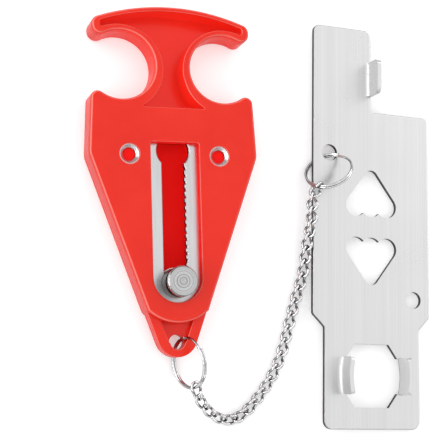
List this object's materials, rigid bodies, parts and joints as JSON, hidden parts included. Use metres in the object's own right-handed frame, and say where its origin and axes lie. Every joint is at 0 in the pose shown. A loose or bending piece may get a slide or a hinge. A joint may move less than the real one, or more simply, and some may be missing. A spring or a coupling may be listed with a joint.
{
  "type": "portable door lock",
  "caption": "Portable door lock: wedge body with a T grip and a sliding stud, and a clawed strike plate on a short chain with split rings.",
  "frame": {"origin": "on the back face of the lock body, midway between its two pin holes; the object lies face up on this plane", "axes": "+Z out of the front of the body, +Y along the body to its grip, +X to the right, where the strike plate lies"},
  "size_m": [0.1298, 0.1471, 0.0168],
  "materials": {
    "red_plastic": "smooth moulded, satin gloss",
    "pressed_steel": "pressed sheet",
    "turned_steel": "turned, fine rings",
    "brushed_sheet": "brushed along its length",
    "nickel": "bright nickel plate"
  },
  "bodies": {
    "lock": {"lock_body": "red_plastic", "slot_plate": "pressed_steel"},
    "stud": {"locking_stud": "turned_steel"},
    "tip_ring": {"tip_ring": "nickel"},
    "chain_run_1": {"chain_link_01": "nickel", "chain_link_02": "nickel", "chain_link_03": "nickel", "chain_link_04": "nickel"},
    "chain_run_2": {"chain_link_05": "nickel", "chain_link_06": "nickel", "chain_link_07": "nickel", "chain_link_08": "nickel"},
    "chain_run_3": {"chain_link_09": "nickel", "chain_link_10": "nickel", "chain_link_11": "nickel", "chain_link_12": "nickel"},
    "chain_run_4": {"chain_link_13": "nickel", "chain_link_14": "nickel", "chain_link_15": "nickel", "chain_link_16": "nickel"},
    "chain_run_5": {"chain_link_17": "nickel", "chain_link_18": "nickel", "chain_link_19": "nickel", "chain_link_20": "nickel"},
    "chain_run_6": {"chain_link_21": "nickel", "chain_link_22": "nickel", "chain_link_23": "nickel", "chain_link_24": "nickel"},
    "plate_ring": {"plate_ring": "nickel"},
    "plate": {"strike_plate": "brushed_sheet"}
  },
  "joints": [
    {"name": "stud_slide", "type": "slide", "parent": "lock", "child": "stud", "axis": [0, 1, 0], "range_m": [0, 0.042]},
    {"name": "tip_ring_swing", "type": "hinge", "parent": "lock", "child": "tip_ring", "pos_m": [0, -0.0627, 0.0052], "axis": [0, 0, 1], "range_deg": [-18, 8]},
    {"name": "chain_start_swing", "type": "hinge", "parent": "tip_ring", "child": "chain_run_1", "pos_m": [0.00487, -0.07675, 0.00981], "axis": [0, 0, 1], "range_deg": [-10, 3]},
    {"name": "chain_bend_1", "type": "hinge", "parent": "chain_run_1", "child": "chain_run_2", "pos_m": [0.01648, -0.08916, 0.00307], "axis": [0, 0, 1], "range_deg": [-30, 7]},
    {"name": "chain_bend_2", "type": "hinge", "parent": "chain_run_2", "child": "chain_run_3", "pos_m": [0.03176, -0.07963, 0.00172], "axis": [0, 0, -1], "range_deg": [-8, 30]},
    {"name": "chain_bend_3", "type": "hinge", "parent": "chain_run_3", "child": "chain_run_4", "pos_m": [0.0405, -0.06266, 0.00169], "axis": [0, 0, 1], "range_deg": [-30, 8]},
    {"name": "chain_bend_4", "type": "hinge", "parent": "chain_run_4", "child": "chain_run_5", "pos_m": [0.0464, -0.0444, 0.00169], "axis": [0, 0, -1], "range_deg": [-12, 25]},
    {"name": "chain_bend_5", "type": "hinge", "parent": "chain_run_5", "child": "chain_run_6", "pos_m": [0.04963, -0.02595, 0.00488], "axis": [0, 0, 1], "range_deg": [-2, 15]},
    {"name": "plate_ring_swing", "type": "hinge", "parent": "chain_run_6", "child": "plate_ring", "pos_m": [0.05307, -0.00894, 0.00968], "axis": [0, 0, -1], "range_deg": [-14, 0]},
    {"name": "plate_swing", "type": "hinge", "parent": "plate_ring", "child": "plate", "pos_m": [0.05928, 0.00392, 0.00212], "axis": [0, 0, 1], "range_deg": [0, 18]}
  ]
}
